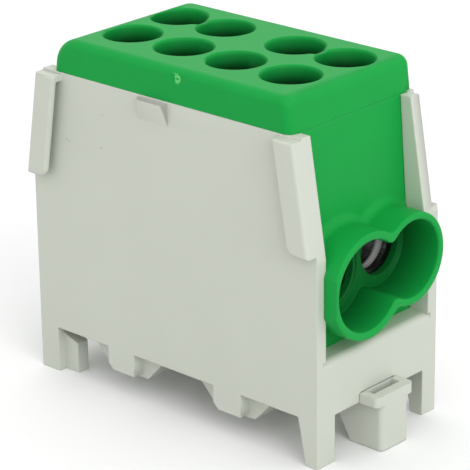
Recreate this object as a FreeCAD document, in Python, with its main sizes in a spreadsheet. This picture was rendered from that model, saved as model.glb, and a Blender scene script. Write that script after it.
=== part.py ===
import FreeCAD, Part
import math
import os
import re
import Sketcher

# A one-pole branch terminal block that snaps on a 35 mm mounting rail.
# X runs along the wires, the latch is at +X, Z is up, and the legs stand on z = 0.
# A grey base holds a green box, the box holds a metal block with eight clamping
# screws, and a green cap closes it. All sizes are in millimetres.

doc = FreeCAD.newDocument("power_distribution_block")
sheet = doc.addObject("Spreadsheet::Sheet", "Sizes")

SIZES = {
    # base: walls, sills and floor
    "end_margin": 2.5,
    "head_room": 4.5,
    "lean_rise": 11.3,
    "seat_height": 5.3,
    "wall_lean": 2.05,
    "wall_thick": 1.0,
    "end_rib": 0.4,
    "sill_thick": 1.6,
    "sill_round": 0.8,
    "floor_thick": 1.7,
    "spring_room": 0.4,
    # far wall ends, set inwards beside the box
    "jog_rise": 11.2,
    "jog_outer": 0.85,
    "jog_inner": 2.25,
    # legs and the hook that takes the rail's fixed edge
    "leg_foot": 1.5,
    "leg_root": 2.55,
    "leg_near_depth": 2.85,
    "leg_far_depth": 2.2,
    "rear_plate_width": 2.65,
    "hook_depth": 2.55,
    "hook_gap": 0.25,
    "hook_overlap": 1.9,
    "rail_flange": 1.0,
    "rail_half": 17.5,
    "channel_half": 13.5,
    # feet that stand inside the rail
    "foot_pitch": 15.6,
    "foot_bottom": 2.25,
    "foot_half_bottom": 2.75,
    "foot_inset": 1.35,
    "tab_width": 3.9,
    "tab_bottom": 2.7,
    "tab_cut": 0.7,
    "relief_width": 0.9,
    "relief_height": 1.0,
    "relief_depth": 0.5,
    # joining bars and snap nub on the near wall
    "bar_width": 2.85,
    "bar_rise": 11.85,
    "bar_drop": 0.2,
    "bar_stand": 1.35,
    "bar_plate": 0.55,
    "bar_web": 0.75,
    "bar_corner": 1.2,
    "nub_left": -4.14,
    "nub_right": 0.1,
    "nub_slant": 0.84,
    "nub_height": 2.5,
    "nub_stand": 1.05,
    # green box
    "box_gap": 0.05,
    "box_end_wall": 0.75,
    "box_lean": 0.95,
    "box_wall": 0.7,
    "box_floor": 1.3,
    "mouth_depth": 0.65,
    "tube_reach": 4.25,
    "near_tube_radius": 5.78,
    "near_tube_wall": 0.93,
    "near_overhang": 0.83,
    "far_tube_radius": 5.02,
    "far_tube_wall": 0.82,
    "far_overhang": 0.37,
    "far_tube_lift": 0.1,
    "mouth_wall": 0.45,
    "port_gap": 0.05,
    "port_ring": 0.35,
    "port_step": 0.2,
    # metal block, its bores and its screw holes
    "block_gap": 0.05,
    "block_edge": 4.25,
    "block_height": 18.1,
    "block_chamfer": 0.4,
    "near_bore_radius": 3.45,
    "near_side_wall": 0.95,
    "near_under_wall": 2.55,
    "bore_web": 1.35,
    "far_bore_radius": 3.05,
    "far_side_wall": 0.6,
    "far_under_wall": 3.65,
    "screw_centre": 0.4,
    "near_inner_screw": 3.65,
    "near_outer_screw": 11.15,
    "far_inner_screw": 4.95,
    "far_outer_screw": 11.75,
    # clamping screws
    "screw_radius": 2.95,
    "screw_gap": 0.05,
    "screw_length": 8.8,
    "screw_tip": 0.8,
    "tip_clearance": 0.3,
    "socket_flats": 3.0,
    "socket_depth": 3.2,
    # cap
    "cap_height": 3.8,
    "cap_lean": 0.45,
    "cap_rear_round": 3.2,
    "cap_front_round": 1.3,
    "cap_corner": 1.0,
    "cap_plug": 2.0,
    "cap_gap": 0.1,
    "access_gap": 0.33,
    "access_depth": 2.0,
    "ledge_thick": 0.7,
    "ledge_overhang": 0.02,
    "guide_gap": 0.25,
    "access_round": 0.3,
    "mark_left": 0.75,
    "mark_right": 2.26,
    "mark_bottom": 2.4,
    "mark_top": 3.3,
    "mark_depth": 0.12,
    # latch
    "latch_half_width": 2.2,
    "latch_reach": 2.45,
    "heel_inset": 1.85,
    "latch_bottom": 0.05,
    "nose_overlap": 1.4,
    "nose_play": 0.3,
    "nose_slant": 0.87,
    "nose_height": 1.6,
    "loop_half_width": 3.0,
    "slot_length": 1.12,
    "slot_depth": 3.15,
    "loop_corner": 0.6,
    "slot_half_width": 2.1,
    "tongue_half_width": 2.6,
    "tongue_thick": 0.85,
    "tongue_lift": 0.15,
    "tongue_end": 8.0,
    "latch_gap": 0.1,
    "push_thick": 1.0,
    "push_half_width": 2.0,
    # spring and the post it leans on
    "post_rear": 13.2,
    "post_thick": 1.1,
    "spring_wire": 0.4,
    "spring_radius": 1.3,
    "spring_turns": 4.0,
    "spring_gap": 0.05,
}

for row, (alias, value) in enumerate(SIZES.items(), start=1):
    sheet.set("A%d" % row, alias)
    sheet.set("B%d" % row, str(value))
    sheet.setAlias("B%d" % row, alias)
doc.recompute()

# Places that several pieces share, each written in terms of sizes or of other places.
PLACES = {
    "BLOCK_SIDE": "(near_side_wall + bore_web + far_side_wall) / 2 + near_bore_radius + far_bore_radius",
    "CAVITY_SIDE": "BLOCK_SIDE + block_gap",
    "BOX_SIDE": "CAVITY_SIDE + box_wall",
    "INNER": "BOX_SIDE + box_gap",
    "HALF_WIDTH": "INNER + wall_thick",
    "RIB_FACE": "INNER - end_rib",
    "TUBE_SIDE": "RIB_FACE - box_gap",
    "NEAR_BORE_Y": "near_side_wall + near_bore_radius - BLOCK_SIDE",
    "FAR_BORE_Y": "BLOCK_SIDE - far_side_wall - far_bore_radius",
    "NEAR_BORE_Z": "CAVITY_FLOOR + near_under_wall + near_bore_radius",
    "FAR_BORE_Z": "CAVITY_FLOOR + far_under_wall + far_bore_radius",
    "NEAR_TUBE_Y": "near_tube_radius - TUBE_SIDE - near_overhang",
    "FAR_TUBE_Y": "TUBE_SIDE + far_overhang - far_tube_radius",
    "NEAR_TUBE_Z": "NEAR_BORE_Z",
    "FAR_TUBE_Z": "FAR_BORE_Z + far_tube_lift",
    "NEAR_MOUTH_RADIUS": "near_tube_radius - near_tube_wall",
    "FAR_MOUTH_RADIUS": "far_tube_radius - far_tube_wall",
    "BLOCK_HALF": "far_outer_screw + block_edge",
    "CAVITY_HALF": "BLOCK_HALF + block_gap",
    "BOX_TOP_HALF": "CAVITY_HALF + box_end_wall",
    "BOX_HALF": "BOX_TOP_HALF + box_lean",
    "SEPTUM": "BOX_HALF - mouth_depth",
    "TUBE_END": "BOX_HALF + tube_reach",
    "TUBE_LOW": "NEAR_TUBE_Z - near_tube_radius - 1",
    "TUBE_HIGH": "FAR_TUBE_Z + far_tube_radius + 1",
    "HALF_LENGTH": "BOX_HALF + end_margin",
    "TOP_HALF": "HALF_LENGTH - wall_lean",
    "SILL_INNER": "HALF_LENGTH - sill_thick",
    "TONGUE_BOTTOM": "seat_height + tongue_lift",
    "TONGUE_TOP": "TONGUE_BOTTOM + tongue_thick",
    "SLOT_TOP": "TONGUE_TOP + latch_gap",
    "POST_BOTTOM": "SLOT_TOP + latch_gap",
    "FLOOR_UNDER": "POST_BOTTOM + 2 * spring_radius + spring_wire + spring_room",
    "FLOOR_TOP": "FLOOR_UNDER + floor_thick",
    "CAVITY_FLOOR": "FLOOR_TOP + box_floor",
    "BLOCK_TOP": "CAVITY_FLOOR + block_height",
    "WALL_TOP": "BLOCK_TOP + head_room",
    "LEAN_START": "FLOOR_TOP + lean_rise",
    "JOG_BOTTOM": "FLOOR_TOP + jog_rise",
    "BAR_BOTTOM": "FLOOR_TOP + bar_rise",
    "BAR_TOP": "WALL_TOP - bar_drop",
    "NUB_BOTTOM": "BAR_TOP - nub_height",
    "CAP_TOP": "WALL_TOP + cap_height",
    "LEDGE": "CAP_TOP - access_depth",
    "FOOT_SIDE": "HALF_WIDTH - foot_inset",
    "FOOT_HALF_TOP": "channel_half - latch_gap - foot_pitch / 2",
    "RELIEF_TOP": "seat_height - relief_height",
    "THROAT": "-(rail_half + hook_gap)",
    "HOOK_TIP": "-(rail_half - hook_overlap)",
    "LIP": "seat_height - rail_flange - latch_gap",
    "BAR_OUTER": "HALF_WIDTH + bar_stand",
    "BAR_INNER": "BAR_OUTER - bar_plate",
    "LATCH_FRONT": "HALF_LENGTH + latch_reach",
    "LATCH_HEEL": "HALF_LENGTH - heel_inset",
    "NOSE_TIP": "rail_half - nose_overlap",
    "NOSE_STOP": "rail_half + nose_play",
    "NOSE_TOP": "LIP",
    "NOSE_LOW": "NOSE_TOP - nose_height",
    "NOSE_LOW_X": "NOSE_TIP + nose_slant",
    "LOOP_BOTTOM": "seat_height - latch_gap",
    "LOOP_TOP": "TONGUE_TOP + box_gap",
    "SLOT_BACK": "HALF_LENGTH + latch_gap",
    "SLOT_FRONT": "SLOT_BACK + slot_length",
    "SLOT_FLOOR": "LOOP_TOP - slot_depth",
    "PUSH_TOP": "FLOOR_UNDER - 0.6",
    "SPRING_Z": "(POST_BOTTOM + PUSH_TOP) / 2",
    "SPRING_START": "tongue_end + push_thick + spring_gap + spring_wire / 2",
    "SPRING_END": "post_rear - spring_gap - spring_wire / 2",
}


def in_sizes(expression):
    """The expression with every shared place in it written out."""
    while re.search(r"\b[A-Z][A-Z_]+\b", expression):
        expression = re.sub(r"\b[A-Z][A-Z_]+\b", lambda place: "(%s)" % PLACES[place.group()], expression)
    return expression


def size(expression):
    """The value of an expression of sizes, now."""
    return float(sheet.evalExpression(in_sizes(expression)))


def bound(expression):
    """The expression as another object of the document reads it."""
    return re.sub(r"\b([a-z]\w*)\b(?!\()", r"Sizes.\1", in_sizes(expression))


def new_body(name):
    body = doc.addObject("PartDesign::Body", name)
    body.Label = name
    return body


def origin_plane(body, role):
    return next(f for f in body.Origin.OriginFeatures if f.Role == role)


def new_sketch(body, name, plane, height):
    """A sketch parallel to an origin plane, at a world coordinate along its axis."""
    sketch = body.newObject("Sketcher::SketchObject", name)
    sketch.AttachmentSupport = [(origin_plane(body, plane), "")]
    sketch.MapMode = "FlatFace"
    sign = "-" if plane == "XZ_Plane" else ""
    sketch.setExpression("AttachmentOffset.Base.z", bound("%s(%s)" % (sign, height)))
    return sketch


def pin_point(sketch, geometry, point, place):
    """Ties a point of a sketch to its two coordinates."""
    for kind, axis, expression in (("DistanceX", -2, place[0]), ("DistanceY", -1, place[1])):
        value = size(expression)
        if abs(value) < 1e-9:
            sketch.addConstraint(Sketcher.Constraint("PointOnObject", geometry, point, axis))
            continue
        index = sketch.addConstraint(Sketcher.Constraint(kind, -1, 1, geometry, point, value))
        sketch.setExpression("Constraints[%d]" % index, bound(expression))


def outline(sketch, corners):
    """A closed outline of straight lines through corners given as expressions."""
    points = [FreeCAD.Vector(size(x), size(y), 0) for x, y in corners]
    first = sketch.GeometryCount
    count = len(points)
    for i in range(count):
        sketch.addGeometry(Part.LineSegment(points[i], points[(i + 1) % count]))
    for i in range(count):
        following = first + (i + 1) % count
        sketch.addConstraint(Sketcher.Constraint("Coincident", first + i, 2, following, 1))
    for i in range(count):
        pin_point(sketch, first + i, 1, corners[i])


def circle(sketch, centre, radius):
    place = FreeCAD.Vector(size(centre[0]), size(centre[1]), 0)
    index = sketch.addGeometry(Part.Circle(place, FreeCAD.Vector(0, 0, 1), size(radius)))
    pin_point(sketch, index, 3, centre)
    constraint = sketch.addConstraint(Sketcher.Constraint("Radius", index, size(radius)))
    sketch.setExpression("Constraints[%d]" % constraint, bound(radius))


def extrude(body, name, plane, low, high, shapes, cut=False, taper=0):
    """Adds or cuts straight-sided shapes between two world coordinates.

    A shape is a list of corners, or a (centre, radius) pair for a circle. A taper is the
    angle, in degrees, at which it widens towards the higher coordinate.
    """
    sketch = new_sketch(body, name + "_sketch", plane, low)
    for shape in shapes:
        if len(shape) == 2:
            circle(sketch, shape[0], shape[1])
        else:
            outline(sketch, shape)
    before = body.Tip.Shape.Volume if cut else 0
    feature = body.newObject("PartDesign::Pocket" if cut else "PartDesign::Pad", name)
    feature.Profile = sketch
    feature.setExpression("Length", bound("(%s) - (%s)" % (high, low)))
    against_normal = plane == "XZ_Plane"
    feature.Reversed = (not against_normal) if cut else against_normal
    feature.TaperAngle = taper
    doc.recompute()
    if not feature.isValid() or feature.Shape.isNull():
        raise RuntimeError(name + " failed")
    if cut and feature.Shape.Volume >= before:
        raise RuntimeError(name + " cuts nothing")
    return feature


def rectangle(x_low, x_high, y_low, y_high):
    return [(x_low, y_low), (x_high, y_low), (x_high, y_high), (x_low, y_high)]


def mirror(body, name, features, plane):
    feature = body.newObject("PartDesign::Mirrored", name)
    feature.Originals = features
    feature.MirrorPlane = (origin_plane(body, plane), [""])
    body.Tip = feature
    doc.recompute()
    return feature


def find_edges(body, test):
    """The names of the edges of a body's tip whose bounding box passes a test."""
    shape = body.Tip.Shape
    return ["Edge%d" % (i + 1) for i, edge in enumerate(shape.Edges) if test(edge.BoundBox, edge)]


def dress(body, kind, name, radius, test):
    """A fillet or chamfer on the edges that pass a test."""
    names = find_edges(body, test)
    if not names:
        raise RuntimeError(name + " finds no edge")
    dressed = body.Tip
    feature = body.newObject("PartDesign::" + kind, name)
    feature.Base = (dressed, names)
    feature.setExpression("Radius" if kind == "Fillet" else "Size", bound(radius))
    doc.recompute()
    if not feature.isValid() or feature.Shape.isNull():
        raise RuntimeError(name + " failed")
    return feature


def near(value, expression, slack=0.01):
    return abs(value - size(expression)) < slack


def wall_end(height):
    """How far the leaning end of the walls reaches at a height, as an expression."""
    return "(HALF_LENGTH - wall_lean * (%s - LEAN_START) / (WALL_TOP - LEAN_START))" % height


# Base housing: one grey moulding. Its side walls lean in at the upper ends.
base = new_body("base_housing")
WALL = [
    ("-HALF_LENGTH", "seat_height"), ("HALF_LENGTH", "seat_height"), ("HALF_LENGTH", "LEAN_START"),
    ("TOP_HALF", "WALL_TOP"), ("-TOP_HALF", "WALL_TOP"), ("-HALF_LENGTH", "LEAN_START"),
]
extrude(base, "near_wall", "XZ_Plane", "-HALF_WIDTH", "-INNER", [WALL])
extrude(base, "far_wall", "XZ_Plane", "INNER", "HALF_WIDTH", [WALL])

# The end sills and the floor between them are one bridge from wall to wall.
extrude(base, "floor_and_sills", "XZ_Plane", "-INNER", "INNER", [[
    ("-HALF_LENGTH", "seat_height"), ("-SILL_INNER", "seat_height"), ("-SILL_INNER", "FLOOR_UNDER"),
    ("SILL_INNER", "FLOOR_UNDER"), ("SILL_INNER", "seat_height"), ("HALF_LENGTH", "seat_height"),
    ("HALF_LENGTH", "FLOOR_TOP"), ("-HALF_LENGTH", "FLOOR_TOP"),
]])
dress(base, "Fillet", "sill_rounds", "sill_round", lambda box, edge: (
    near(box.ZMin, "FLOOR_TOP") and near(box.ZMax, "FLOOR_TOP")
    and near(abs(box.XMin), "HALF_LENGTH") and near(box.XMax - box.XMin, "0")
    and box.YLength > size("HALF_WIDTH")))

# Ribs at the wall ends keep the green box from sliding out along the rail.
RIB = [
    ("BOX_HALF + box_gap", "FLOOR_TOP"), ("HALF_LENGTH", "FLOOR_TOP"), ("HALF_LENGTH", "LEAN_START"),
    ("TOP_HALF", "WALL_TOP"), ("BOX_TOP_HALF + box_gap", "WALL_TOP"), ("BOX_HALF + box_gap", "JOG_BOTTOM"),
]
rib_near = extrude(base, "near_end_rib", "XZ_Plane", "-INNER", "-RIB_FACE", [RIB])
LOW_RIB = RIB[:2] + [("HALF_LENGTH", "JOG_BOTTOM"), ("BOX_HALF + box_gap", "JOG_BOTTOM")]
rib_far = extrude(base, "far_end_rib", "XZ_Plane", "RIB_FACE", "INNER", [LOW_RIB])
HIGH_RIB = [
    ("BOX_HALF + box_gap", "JOG_BOTTOM"), ("HALF_LENGTH", "JOG_BOTTOM"), ("HALF_LENGTH", "LEAN_START"),
    ("TOP_HALF", "WALL_TOP"), ("BOX_TOP_HALF + box_gap", "WALL_TOP"),
]
jog_in = extrude(base, "far_end_step", "XZ_Plane", "HALF_WIDTH - jog_inner", "HALF_WIDTH - jog_outer", [HIGH_RIB])
jog_out = extrude(base, "far_end_recess", "XZ_Plane", "HALF_WIDTH - jog_outer", "HALF_WIDTH + jog_outer", [[
    ("BOX_HALF + box_gap", "JOG_BOTTOM + jog_outer"), ("HALF_LENGTH + 1", "JOG_BOTTOM + jog_outer"),
    ("HALF_LENGTH + 1", "WALL_TOP + 1"), ("BOX_TOP_HALF + box_gap - 0.1", "WALL_TOP + 1"),
]], cut=True)
mirror(base, "rear_end_ribs", [rib_near, rib_far, jog_in, jog_out], "YZ_Plane")

# Two feet reach down between the rail's flanges.
def foot_outline(centre):
    return [
        ("%s - foot_half_bottom" % centre, "foot_bottom"), ("%s + foot_half_bottom" % centre, "foot_bottom"),
        ("%s + FOOT_HALF_TOP" % centre, "seat_height"), ("%s + FOOT_HALF_TOP" % centre, "FLOOR_UNDER"),
        ("%s - FOOT_HALF_TOP" % centre, "FLOOR_UNDER"), ("%s - FOOT_HALF_TOP" % centre, "seat_height"),
    ]


feet = ("-foot_pitch / 2", "foot_pitch / 2")
extrude(base, "feet", "XZ_Plane", "-FOOT_SIDE", "FOOT_SIDE", [foot_outline(feet[0]), foot_outline(feet[1])])
tab_shapes = [[
    ("%s - tab_width / 2" % c, "seat_height"), ("%s - tab_width / 2" % c, "tab_bottom + tab_cut"),
    ("%s - tab_width / 2 + tab_cut" % c, "tab_bottom"), ("%s + tab_width / 2" % c, "tab_bottom"),
    ("%s + tab_width / 2" % c, "seat_height"),
] for c in feet]
near_tabs = extrude(base, "near_tabs", "XZ_Plane", "-HALF_WIDTH", "-FOOT_SIDE", [tab_shapes[0], tab_shapes[1]])
near_infill = extrude(base, "foot_to_wall", "XZ_Plane", "-INNER", "-FOOT_SIDE", [
    rectangle("%s - FOOT_HALF_TOP" % c, "%s + FOOT_HALF_TOP" % c, "seat_height", "FLOOR_UNDER") for c in feet])
near_reliefs = extrude(base, "near_reliefs", "XZ_Plane", "-FOOT_SIDE", "relief_depth - FOOT_SIDE", [[
    ("%s - tab_width / 2 - 0.3 - relief_width" % c, "RELIEF_TOP"),
    ("%s - tab_width / 2 - 0.3" % c, "RELIEF_TOP - relief_height"),
    ("%s - tab_width / 2 - 0.3" % c, "RELIEF_TOP"),
] for c in feet], cut=True)

# Legs: the front ones taper, the rear ones hold the hook for the rail's fixed edge.
FRONT_LEG = [
    ("HALF_LENGTH - leg_root", "seat_height"), ("HALF_LENGTH - leg_foot", "0"),
    ("HALF_LENGTH", "0"), ("HALF_LENGTH", "seat_height"),
]
extrude(base, "near_front_leg", "XZ_Plane", "-HALF_WIDTH", "leg_near_depth - HALF_WIDTH", [FRONT_LEG])
extrude(base, "far_front_leg", "XZ_Plane", "HALF_WIDTH - leg_far_depth", "HALF_WIDTH", [FRONT_LEG])
rear_plate = extrude(base, "rear_plate", "XZ_Plane", "-HALF_WIDTH", "-INNER", [
    rectangle("-HALF_LENGTH", "rear_plate_width - HALF_LENGTH", "0", "seat_height")])
hook = extrude(base, "rail_hook", "XZ_Plane", "-INNER", "hook_depth - HALF_WIDTH", [[
    ("-HALF_LENGTH", "0"), ("HOOK_TIP", "0"),
    ("HOOK_TIP", "LIP - 0.65"), ("THROAT + 0.3", "LIP"),
    ("THROAT", "LIP + 0.3"), ("THROAT", "seat_height"), ("-HALF_LENGTH", "seat_height"),
]])
mirror(base, "far_side_feet_and_hook", [near_tabs, near_infill, near_reliefs, rear_plate, hook], "XZ_Plane")

# The latch's tongue runs in a slot under the floor and leaves below the front sill.
extrude(base, "latch_slot", "XY_Plane", "seat_height", "FLOOR_UNDER", [rectangle(
    "tongue_end - push_thick - latch_gap * 4", "SILL_INNER",
    "-tongue_half_width - latch_gap", "tongue_half_width + latch_gap")], cut=True)
extrude(base, "sill_notch", "XY_Plane", "seat_height - 1", "SLOT_TOP", [rectangle(
    "SILL_INNER - 1", "HALF_LENGTH + 1",
    "-tongue_half_width - latch_gap", "tongue_half_width + latch_gap")], cut=True)
extrude(base, "spring_post", "XY_Plane", "POST_BOTTOM", "FLOOR_UNDER + 0.2", [rectangle(
    "post_rear", "post_rear + post_thick", "-tongue_half_width - 0.5", "tongue_half_width + 0.5")])

# Joining bars: a plate that stands off the near wall, a web at its outer end and a roof.


def bar_outline(width):
    return [
        (wall_end("BAR_BOTTOM") + " - " + width, "BAR_BOTTOM"), (wall_end("BAR_BOTTOM"), "BAR_BOTTOM"),
        (wall_end("BAR_TOP"), "BAR_TOP"), (wall_end("BAR_TOP") + " - " + width, "BAR_TOP"),
    ]


plate = extrude(base, "bar_plates", "XZ_Plane", "-BAR_OUTER", "-BAR_INNER", [bar_outline("bar_width")])
web = extrude(base, "bar_webs", "XZ_Plane", "-BAR_INNER", "-HALF_WIDTH", [bar_outline("bar_web")])
roof = extrude(base, "bar_roofs", "XZ_Plane", "-BAR_INNER", "-HALF_WIDTH", [[
    (wall_end("BAR_TOP - bar_web") + " - bar_width", "BAR_TOP - bar_web"),
    (wall_end("BAR_TOP - bar_web"), "BAR_TOP - bar_web"),
    (wall_end("BAR_TOP"), "BAR_TOP"), (wall_end("BAR_TOP") + " - bar_width", "BAR_TOP"),
]])
mirror(base, "rear_bar", [plate, web, roof], "YZ_Plane")

# Snap nub: a wedge under the cap that clicks into the next block.
nub = extrude(base, "snap_nub", "YZ_Plane", "nub_left", "nub_right", [[
    ("-HALF_WIDTH", "NUB_BOTTOM"), ("-HALF_WIDTH", "BAR_TOP"), ("-HALF_WIDTH - nub_stand", "BAR_TOP"),
]])
extrude(base, "nub_slant_cut", "XY_Plane", "NUB_BOTTOM - 1", "BAR_TOP + 1", [[
    ("nub_left", "-HALF_WIDTH"), ("nub_left + nub_slant", "-HALF_WIDTH - nub_stand"),
    ("nub_left + nub_slant", "-HALF_WIDTH - nub_stand - 1"), ("nub_left - 1", "-HALF_WIDTH - nub_stand - 1"),
    ("nub_left - 1", "-HALF_WIDTH"),
]], cut=True)

dress(base, "Fillet", "bar_corner_rounds", "bar_corner", lambda box, edge: (
    near(box.ZMin, "BAR_BOTTOM") and near(box.ZMax, "BAR_BOTTOM")
    and near(box.YMin, "-BAR_OUTER") and near(box.YMax, "-BAR_INNER")
    and abs(box.XMin) < size(wall_end("BAR_BOTTOM") + " - bar_width / 2")))


# Green box: an open-topped tray with leaning ends and a merged pair of wire tubes at each end.
shell = new_body("terminal_shell")
BOX = [
    ("-BOX_HALF", "FLOOR_TOP"), ("BOX_HALF", "FLOOR_TOP"), ("BOX_HALF", "JOG_BOTTOM"),
    ("BOX_TOP_HALF", "WALL_TOP"), ("-BOX_TOP_HALF", "WALL_TOP"), ("-BOX_HALF", "JOG_BOTTOM"),
]
extrude(shell, "tray", "XZ_Plane", "-BOX_SIDE", "BOX_SIDE", [BOX])
near_tube = extrude(shell, "near_tube", "YZ_Plane", "SEPTUM", "TUBE_END", [
    (("NEAR_TUBE_Y", "NEAR_TUBE_Z"), "near_tube_radius")])
far_tube = extrude(shell, "far_tube", "YZ_Plane", "SEPTUM", "TUBE_END", [
    (("FAR_TUBE_Y", "FAR_TUBE_Z"), "far_tube_radius")])
trims = extrude(shell, "tube_trims", "YZ_Plane", "BOX_HALF", "TUBE_END + 1", [
    rectangle("-HALF_WIDTH - 1", "-TUBE_SIDE", "TUBE_LOW", "TUBE_HIGH"),
    rectangle("TUBE_SIDE", "HALF_WIDTH + 1", "TUBE_LOW", "TUBE_HIGH")], cut=True)
side_trims = extrude(shell, "side_trims", "YZ_Plane", "SEPTUM", "BOX_HALF + 1", [
    rectangle("-HALF_WIDTH - 1", "-BOX_SIDE", "TUBE_LOW", "TUBE_HIGH")], cut=True)
mouths = [
    extrude(shell, "near_mouth", "YZ_Plane", "SEPTUM", "TUBE_END + 1", [
        (("NEAR_TUBE_Y", "NEAR_TUBE_Z"), "NEAR_MOUTH_RADIUS")], cut=True),
    extrude(shell, "far_mouth", "YZ_Plane", "SEPTUM", "TUBE_END + 1", [
        (("FAR_TUBE_Y", "FAR_TUBE_Z"), "FAR_MOUTH_RADIUS")], cut=True),
]
side_wall = extrude(shell, "mouth_side", "YZ_Plane", "SEPTUM", "TUBE_END", [
    rectangle("-TUBE_SIDE", "mouth_wall - TUBE_SIDE", "NEAR_TUBE_Z - 2", "NEAR_TUBE_Z + 2")])
ports = extrude(shell, "ports", "YZ_Plane", "BLOCK_HALF - 1", "SEPTUM + 0.01", [
    (("NEAR_BORE_Y", "NEAR_BORE_Z"), "near_bore_radius + port_gap"),
    (("FAR_BORE_Y", "FAR_BORE_Z"), "far_bore_radius + port_gap")], cut=True)
port_steps = extrude(shell, "port_steps", "YZ_Plane", "SEPTUM - port_step", "SEPTUM + 0.01", [
    (("NEAR_BORE_Y", "NEAR_BORE_Z"), "near_bore_radius + port_gap + port_ring"),
    (("FAR_BORE_Y", "FAR_BORE_Z"), "far_bore_radius + port_gap + port_ring")], cut=True)
mirror(shell, "rear_tubes", [near_tube, far_tube, trims, side_trims] + mouths + [side_wall, ports, port_steps], "YZ_Plane")
extrude(shell, "cavity", "XY_Plane", "CAVITY_FLOOR", "WALL_TOP + 1", [rectangle(
    "-CAVITY_HALF", "CAVITY_HALF", "-CAVITY_SIDE", "CAVITY_SIDE")], cut=True)


# Metal block: a drawn bar with two long bores and a row of tapped holes over each.
block = new_body("terminal_block")
extrude(block, "bar", "XY_Plane", "CAVITY_FLOOR", "BLOCK_TOP", [rectangle(
    "-BLOCK_HALF", "BLOCK_HALF", "-BLOCK_SIDE", "BLOCK_SIDE")])
dress(block, "Chamfer", "bar_chamfers", "block_chamfer", lambda box, edge: (
    near(box.ZMin, "BLOCK_TOP") and near(box.ZMax, "BLOCK_TOP")))
extrude(block, "bores", "YZ_Plane", "-BLOCK_HALF - 1", "BLOCK_HALF + 1", [
    (("NEAR_BORE_Y", "NEAR_BORE_Z"), "near_bore_radius"),
    (("FAR_BORE_Y", "FAR_BORE_Z"), "far_bore_radius")], cut=True)

# The screws of each row stand in two pairs about a centre that lies a little forward.
SCREWS = []
for row_name in ("near", "far"):
    for place, offset in enumerate(("-%s_outer_screw", "-%s_inner_screw", "+%s_inner_screw", "+%s_outer_screw")):
        SCREWS.append((
            "clamp_screw_%s_%d" % (row_name, place + 1), row_name,
            "screw_centre " + offset % row_name, row_name.upper() + "_BORE_Y"))
extrude(block, "near_tapped_holes", "XY_Plane", "NEAR_BORE_Z", "BLOCK_TOP + 1", [
    ((x, y), "screw_radius + screw_gap") for name, row_name, x, y in SCREWS if row_name == "near"], cut=True)
extrude(block, "far_tapped_holes", "XY_Plane", "FAR_BORE_Z", "BLOCK_TOP + 1", [
    ((x, y), "screw_radius + screw_gap") for name, row_name, x, y in SCREWS if row_name == "far"], cut=True)


# Clamping screws: headless, with a hexagon socket, a blunt tip and their seats above the bores.
def clamping_screw(name, row_name, x, y):
    body = new_body(name)
    sketch = new_sketch(body, name + "_half", "XZ_Plane", "0")
    outline(sketch, [
        ("0", "0"), ("screw_radius - screw_tip", "0"), ("screw_radius", "screw_tip"),
        ("screw_radius", "screw_length - 0.4"), ("screw_radius - 0.4", "screw_length"), ("0", "screw_length"),
    ])
    turned = body.newObject("PartDesign::Revolution", name + "_turned")
    turned.Profile = sketch
    turned.ReferenceAxis = (sketch, ["V_Axis"])
    turned.Angle = 360
    doc.recompute()
    socket = body.newObject("PartDesign::SubtractivePrism", name + "_socket")
    socket.AttachmentSupport = [(origin_plane(body, "XY_Plane"), "")]
    socket.MapMode = "FlatFace"
    socket.Polygon = 6
    socket.setExpression("Circumradius", bound("socket_flats / 2 / cos(30)"))
    socket.setExpression("AttachmentOffset.Base.z", bound("screw_length - socket_depth"))
    socket.setExpression("Height", bound("socket_depth + 1"))
    body.setExpression("Placement.Base.x", bound(x))
    body.setExpression("Placement.Base.y", bound(y))
    body.setExpression("Placement.Base.z", bound(
        "%s_BORE_Z + %s_bore_radius + tip_clearance" % (row_name.upper(), row_name)))
    doc.recompute()
    return body


screws = [clamping_screw(*screw) for screw in SCREWS]


# Green cap: flush with the walls, leaning at the ends, with a plug that fits in the tray.
cap = new_body("top_cap")
extrude(cap, "cap_block", "XZ_Plane", "-HALF_WIDTH", "HALF_WIDTH", [[
    ("-BOX_TOP_HALF", "WALL_TOP"), ("BOX_TOP_HALF", "WALL_TOP"),
    ("BOX_TOP_HALF - cap_lean", "CAP_TOP"), ("cap_lean - BOX_TOP_HALF", "CAP_TOP"),
]])
dress(cap, "Fillet", "cap_rear_top", "cap_rear_round", lambda box, edge: (
    near(box.ZMin, "CAP_TOP") and box.XMax < size("-BOX_TOP_HALF / 2") and box.YLength > size("HALF_WIDTH")))
dress(cap, "Fillet", "cap_front_top", "cap_front_round", lambda box, edge: (
    near(box.ZMin, "CAP_TOP") and box.XMin > size("BOX_TOP_HALF / 2") and box.YLength > size("HALF_WIDTH")))
dress(cap, "Fillet", "cap_corners", "cap_corner", lambda box, edge: (
    near(box.ZMin, "WALL_TOP") and box.ZLength > 0.1 and box.YLength < 0.01))
extrude(cap, "cap_plug", "XY_Plane", "WALL_TOP - cap_plug", "WALL_TOP", [rectangle(
    "cap_gap - CAVITY_HALF", "CAVITY_HALF - cap_gap",
    "cap_gap - CAVITY_SIDE", "CAVITY_SIDE - cap_gap")])
extrude(cap, "access_holes", "XY_Plane", "LEDGE", "CAP_TOP + 1", [
    ((x, y), "screw_radius + access_gap") for name, row_name, x, y in SCREWS], cut=True)
extrude(cap, "ledges", "XY_Plane", "WALL_TOP - cap_plug - 1", "LEDGE", [
    ((x, y), "screw_radius - ledge_overhang") for name, row_name, x, y in SCREWS], cut=True)
extrude(cap, "screw_guides", "XY_Plane", "WALL_TOP - cap_plug - 1", "LEDGE - ledge_thick", [
    ((x, y), "screw_radius + guide_gap") for name, row_name, x, y in SCREWS], cut=True)
extrude(cap, "access_rims", "XY_Plane", "CAP_TOP - access_round", "CAP_TOP + access_round", [
    ((x, y), "screw_radius + access_gap") for name, row_name, x, y in SCREWS], cut=True, taper=45)
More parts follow.
